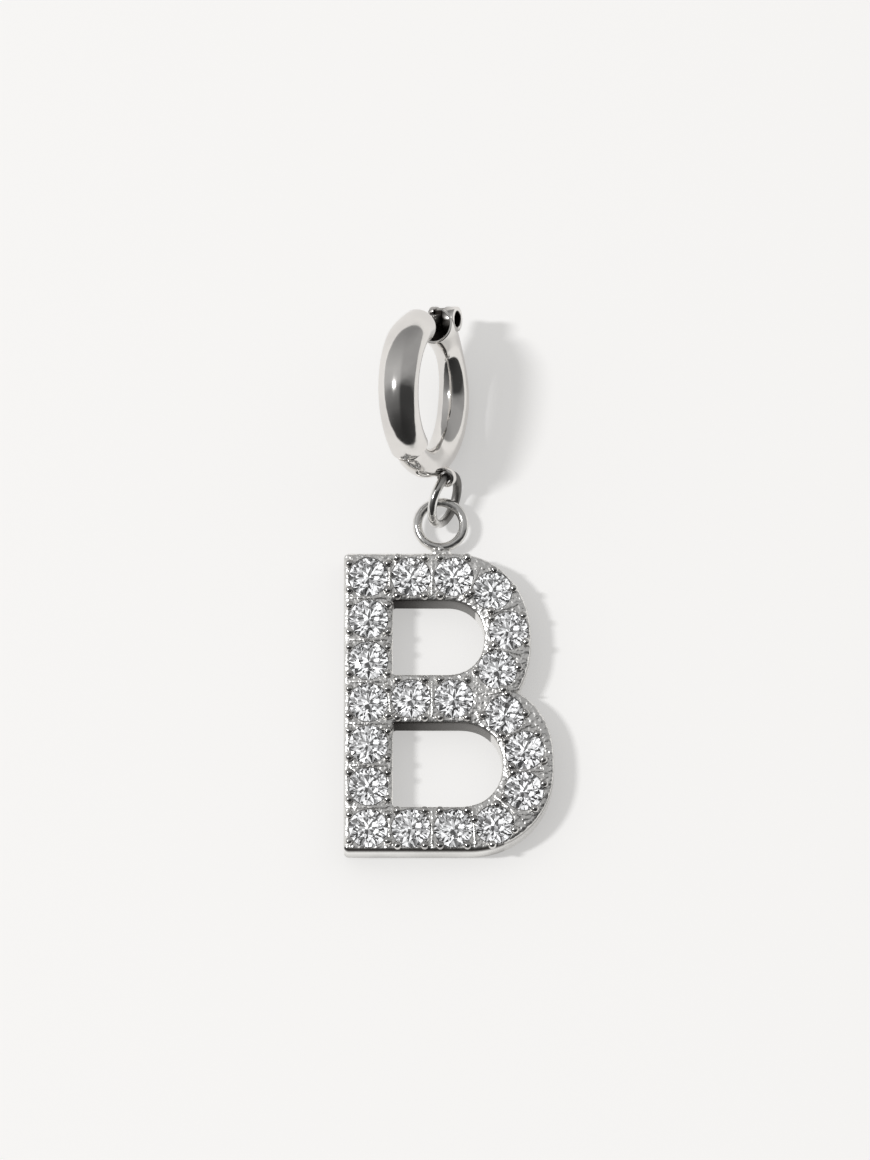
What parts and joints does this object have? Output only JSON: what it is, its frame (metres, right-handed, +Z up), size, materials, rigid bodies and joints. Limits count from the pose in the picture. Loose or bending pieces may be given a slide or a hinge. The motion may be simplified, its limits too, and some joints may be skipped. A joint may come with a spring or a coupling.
{
  "type": "initial pendant",
  "caption": "Initial pendant: a letter B pave-set with round clear stones, hung by a ring and a jump ring from a hinged hoop bail, lying flat.",
  "frame": {"origin": "On the letter's back, in the middle of its middle bar, so on the surface that the pendant lies on.", "axes": "X runs across the letter to the right, Y runs up the letter towards the hoop, and Z points up, out of the letter's set face."},
  "size_m": [0.0105, 0.0277, 0.0081],
  "materials": {
    "polished_silver": "polished",
    "clear_stone": "faceted, clear"
  },
  "bodies": {
    "pendant": {"letter_setting": "polished_silver", "stone_01": "clear_stone", "stone_02": "clear_stone", "stone_03": "clear_stone", "stone_04": "clear_stone", "stone_05": "clear_stone", "stone_06": "clear_stone", "stone_07": "clear_stone", "stone_08": "clear_stone", "stone_09": "clear_stone", "stone_10": "clear_stone", "stone_11": "clear_stone", "stone_12": "clear_stone", "stone_13": "clear_stone", "stone_14": "clear_stone", "stone_15": "clear_stone", "stone_16": "clear_stone", "stone_17": "clear_stone", "stone_18": "clear_stone", "stone_19": "clear_stone", "stone_20": "clear_stone", "jump_ring": "polished_silver", "hoop_frame": "polished_silver", "hinge_pin": "polished_silver"},
    "gate": {"hoop_gate": "polished_silver"}
  },
  "joints": [
    {"name": "gate_hinge", "type": "hinge", "parent": "pendant", "child": "gate", "pos_m": [0.00048, 0.0192, 0.00306], "axis": [-0.9188, 0.0901, -0.3843], "range_deg": [0, 60]}
  ]
}
